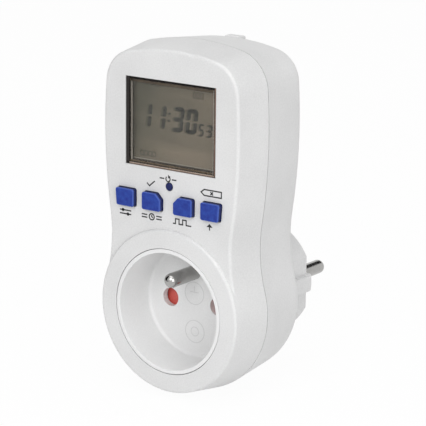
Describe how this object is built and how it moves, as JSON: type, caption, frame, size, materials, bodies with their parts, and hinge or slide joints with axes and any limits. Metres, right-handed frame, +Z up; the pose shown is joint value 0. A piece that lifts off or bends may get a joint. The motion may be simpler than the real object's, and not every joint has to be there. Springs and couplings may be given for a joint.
{
  "type": "plug in timer switch",
  "caption": "Plug-in digital timer switch with a display and keys above an earthed, shuttered mains socket and a round earthed plug at the back.",
  "frame": {"origin": "centre of the plug's engagement face, midway between the two plug pins", "axes": "+Y leaves the plug along its pins into the wall socket; +Z is up, from the socket towards the display; +X is to the right of a person who faces the display"},
  "size_m": [0.0578, 0.0759, 0.1154],
  "materials": {
    "casing_white": "moulded, fine matt texture",
    "insert_white": "moulded, satin",
    "key_blue": "silicone, satin",
    "shutter_red": "moulded, satin",
    "window_clear": "clear moulding",
    "frame_dark": "moulded, satin",
    "display_glass": "display glass with reflector",
    "nickel": "nickel plated",
    "brass_sheet": "bare strip",
    "spring_steel": "drawn wire",
    "steel_screw": "zinc plated",
    "retainer_white": "moulded",
    "carrier_grey": "glass filled moulding",
    "mat_grey": "silicone sheet",
    "contact_rubber": "layered contact rubber",
    "board_green": "solder mask on laminate",
    "board_tan": "bare laminate",
    "resin_black": "resin",
    "relay_blue": "moulded case",
    "film_grey": "moulded box",
    "can_sleeve": "shrink sleeve",
    "varistor_blue": "dipped coating",
    "resistor_body": "cement coating",
    "diode_black": "moulded",
    "chip_ceramic": "ceramic",
    "header_black": "moulded strip",
    "cell_steel": "pressed can",
    "wire_red": "insulation",
    "wire_black": "insulation",
    "wire_blue": "insulation"
  },
  "bodies": {
    "casing": {"front_cover": "casing_white", "rear_cover": "casing_white", "socket_insert": "insert_white", "shutter_spring": "spring_steel", "shutter_retainer": "retainer_white", "shutter_screw": "steel_screw", "contact_carrier": "carrier_grey", "neutral_contact": "brass_sheet", "live_contact": "brass_sheet", "live_tab": "brass_sheet", "plug_pin_left": "nickel", "plug_pin_right": "nickel", "earth_pin": "nickel", "earth_strap": "brass_sheet", "earth_sleeve": "brass_sheet", "lcd_frame": "frame_dark", "display_window": "window_clear", "lcd_panel": "display_glass", "lcd_connectors": "contact_rubber", "keypad_mat": "mat_grey", "control_board": "board_green", "controller_chip": "resin_black", "crystal": "cell_steel", "small_parts": "chip_ceramic", "backup_battery": "cell_steel", "battery_tabs": "nickel", "link_header": "header_black", "power_board": "board_tan", "relay": "relay_blue", "film_capacitor": "film_grey", "supply_capacitor": "can_sleeve", "filter_capacitor": "can_sleeve", "varistor": "varistor_blue", "fuse_resistor": "resistor_body", "rectifier_diodes": "diode_black", "relay_transistor": "diode_black", "live_wire": "wire_red", "load_wire": "wire_black", "neutral_wire": "wire_blue", "case_screws": "steel_screw", "control_board_screws": "steel_screw", "power_board_screws": "steel_screw"},
    "key_far_left_body": {"key_far_left": "key_blue"},
    "key_left_body": {"key_left": "key_blue"},
    "key_right_body": {"key_right": "key_blue"},
    "key_far_right_body": {"key_far_right": "key_blue"},
    "reset_body": {"reset_button": "key_blue"},
    "shutter_body": {"shutter": "shutter_red"}
  },
  "joints": [
    {"name": "key_far_left_press", "type": "slide", "parent": "casing", "child": "key_far_left_body", "axis": [0, 1, 0], "range_m": [0, 0.0009], "stiffness_N_per_m": 250, "springref_m": -0.0004},
    {"name": "key_left_press", "type": "slide", "parent": "casing", "child": "key_left_body", "axis": [0, 1, 0], "range_m": [0, 0.0009], "stiffness_N_per_m": 250, "springref_m": -0.0004},
    {"name": "key_right_press", "type": "slide", "parent": "casing", "child": "key_right_body", "axis": [0, 1, 0], "range_m": [0, 0.0009], "stiffness_N_per_m": 250, "springref_m": -0.0004},
    {"name": "key_far_right_press", "type": "slide", "parent": "casing", "child": "key_far_right_body", "axis": [0, 1, 0], "range_m": [0, 0.0009], "stiffness_N_per_m": 250, "springref_m": -0.0004},
    {"name": "reset_press", "type": "slide", "parent": "casing", "child": "reset_body", "axis": [0, 1, 0], "range_m": [0, 0.0006], "stiffness_N_per_m": 250, "springref_m": -0.0004},
    {"name": "shutter_turn", "type": "hinge", "parent": "casing", "child": "shutter_body", "pos_m": [0, -0.0379, -0.0007], "axis": [0, -1, 0], "range_deg": [0, 38], "stiffness_Nm_per_rad": 0.004, "springref_deg": -11.46, "deforming": ["shutter_spring"]}
  ]
}
